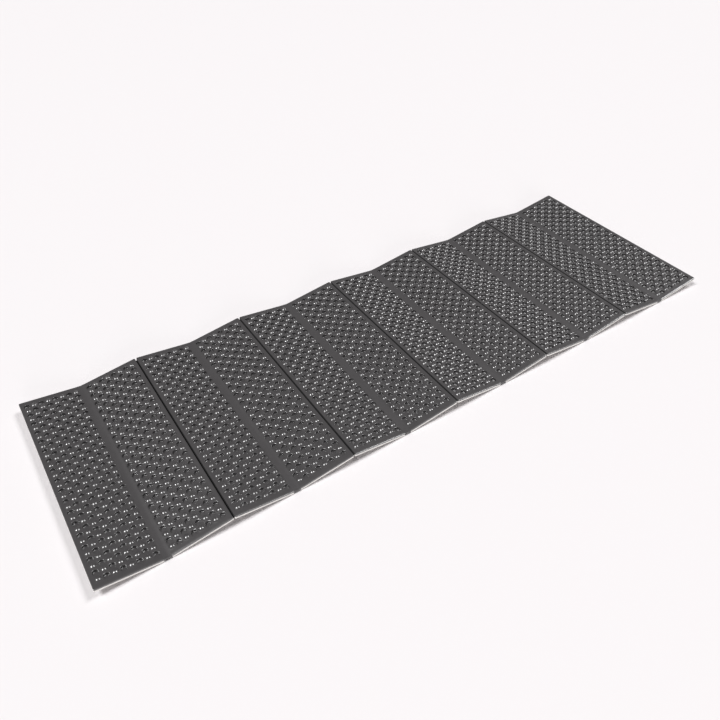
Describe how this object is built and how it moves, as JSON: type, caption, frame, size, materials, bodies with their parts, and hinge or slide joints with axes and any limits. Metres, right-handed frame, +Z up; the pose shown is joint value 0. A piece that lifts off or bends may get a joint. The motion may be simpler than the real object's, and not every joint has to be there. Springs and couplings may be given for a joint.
{
  "type": "folding foam sleeping pad",
  "caption": "Accordion-folding closed-cell foam sleeping pad: dimpled moulded panels joined by living hinges that fold alternately up and down.",
  "frame": {"origin": "on the floor, below the middle of the pad as it stands", "axes": "+X along the pad, +Y across it, +Z up, square to the floor"},
  "size_m": [1.7962, 0.598, 0.0265],
  "materials": {
    "top_foam": "closed-cell polyethylene foam, charcoal, press-moulded skin with a satin sheen",
    "base_foam": "closed-cell polyethylene foam, off-white, fine open cut cells at the edges",
    "valley_web_foam": "charcoal foam pinched thin in the mould, smooth",
    "crest_web_foam": "off-white foam pinched thin in the mould, smooth"
  },
  "bodies": {
    "crease_05": {"fold_05_valley_web": "valley_web_foam"},
    "panel_01": {"panel_01_base_layer": "base_foam", "panel_01_top_layer": "top_foam"},
    "panel_02": {"panel_02_base_layer": "base_foam", "panel_02_top_layer": "top_foam", "fold_01_valley_web": "valley_web_foam"},
    "panel_03": {"panel_03_base_layer": "base_foam", "panel_03_top_layer": "top_foam", "fold_02_crest_web": "crest_web_foam"},
    "panel_04": {"panel_04_base_layer": "base_foam", "panel_04_top_layer": "top_foam", "fold_03_valley_web": "valley_web_foam"},
    "panel_05": {"panel_05_base_layer": "base_foam", "panel_05_top_layer": "top_foam", "fold_04_crest_web": "crest_web_foam"},
    "panel_06": {"panel_06_base_layer": "base_foam", "panel_06_top_layer": "top_foam", "fold_06_crest_web": "crest_web_foam"},
    "panel_07": {"panel_07_base_layer": "base_foam", "panel_07_top_layer": "top_foam", "fold_07_valley_web": "valley_web_foam"},
    "panel_08": {"panel_08_base_layer": "base_foam", "panel_08_top_layer": "top_foam", "fold_08_crest_web": "crest_web_foam"},
    "panel_09": {"panel_09_base_layer": "base_foam", "panel_09_top_layer": "top_foam", "fold_09_valley_web": "valley_web_foam"},
    "panel_10": {"panel_10_base_layer": "base_foam", "panel_10_top_layer": "top_foam", "fold_10_crest_web": "crest_web_foam"},
    "panel_11": {"panel_11_base_layer": "base_foam", "panel_11_top_layer": "top_foam", "fold_11_valley_web": "valley_web_foam"},
    "panel_12": {"panel_12_base_layer": "base_foam", "panel_12_top_layer": "top_foam"}
  },
  "joints": [
    {"name": "fold_05_right", "type": "hinge", "parent": "crease_05", "child": "panel_06", "pos_m": [-0.14992, 0, 0.00812], "axis": [0, -1, 0], "range_deg": [-7.33, 82.67], "stiffness_Nm_per_rad": 2},
    {"name": "fold_05_left", "type": "hinge", "parent": "crease_05", "child": "panel_05", "pos_m": [-0.14992, 0, 0.00812], "axis": [0, 1, 0], "range_deg": [-7.33, 82.67], "stiffness_Nm_per_rad": 2},
    {"name": "fold_06", "type": "hinge", "parent": "panel_06", "child": "panel_07", "pos_m": [0, 0, 0.01834], "axis": [0, 1, 0], "range_deg": [-14.66, 165.34], "stiffness_Nm_per_rad": 1},
    {"name": "fold_07", "type": "hinge", "parent": "panel_07", "child": "panel_08", "pos_m": [0.14992, 0, 0.00812], "axis": [0, -1, 0], "range_deg": [-14.66, 165.34], "stiffness_Nm_per_rad": 1},
    {"name": "fold_08", "type": "hinge", "parent": "panel_08", "child": "panel_09", "pos_m": [0.29984, 0, 0.01834], "axis": [0, 1, 0], "range_deg": [-14.66, 165.34], "stiffness_Nm_per_rad": 1},
    {"name": "fold_09", "type": "hinge", "parent": "panel_09", "child": "panel_10", "pos_m": [0.44977, 0, 0.00812], "axis": [0, -1, 0], "range_deg": [-14.66, 165.34], "stiffness_Nm_per_rad": 1},
    {"name": "fold_10", "type": "hinge", "parent": "panel_10", "child": "panel_11", "pos_m": [0.59969, 0, 0.01834], "axis": [0, 1, 0], "range_deg": [-14.66, 165.34], "stiffness_Nm_per_rad": 1},
    {"name": "fold_11", "type": "hinge", "parent": "panel_11", "child": "panel_12", "pos_m": [0.74961, 0, 0.00812], "axis": [0, -1, 0], "range_deg": [-14.66, 165.34], "stiffness_Nm_per_rad": 1},
    {"name": "fold_04", "type": "hinge", "parent": "panel_05", "child": "panel_04", "pos_m": [-0.29984, 0, 0.01834], "axis": [0, -1, 0], "range_deg": [-14.66, 165.34], "stiffness_Nm_per_rad": 1},
    {"name": "fold_03", "type": "hinge", "parent": "panel_04", "child": "panel_03", "pos_m": [-0.44977, 0, 0.00812], "axis": [0, 1, 0], "range_deg": [-14.66, 165.34], "stiffness_Nm_per_rad": 1},
    {"name": "fold_02", "type": "hinge", "parent": "panel_03", "child": "panel_02", "pos_m": [-0.59969, 0, 0.01834], "axis": [0, -1, 0], "range_deg": [-14.66, 165.34], "stiffness_Nm_per_rad": 1},
    {"name": "fold_01", "type": "hinge", "parent": "panel_02", "child": "panel_01", "pos_m": [-0.74961, 0, 0.00812], "axis": [0, 1, 0], "range_deg": [-14.66, 165.34], "stiffness_Nm_per_rad": 1}
  ],
  "couplings": [
    {"joint": "fold_05_left", "follows": "fold_05_right", "ratio": 1}
  ]
}
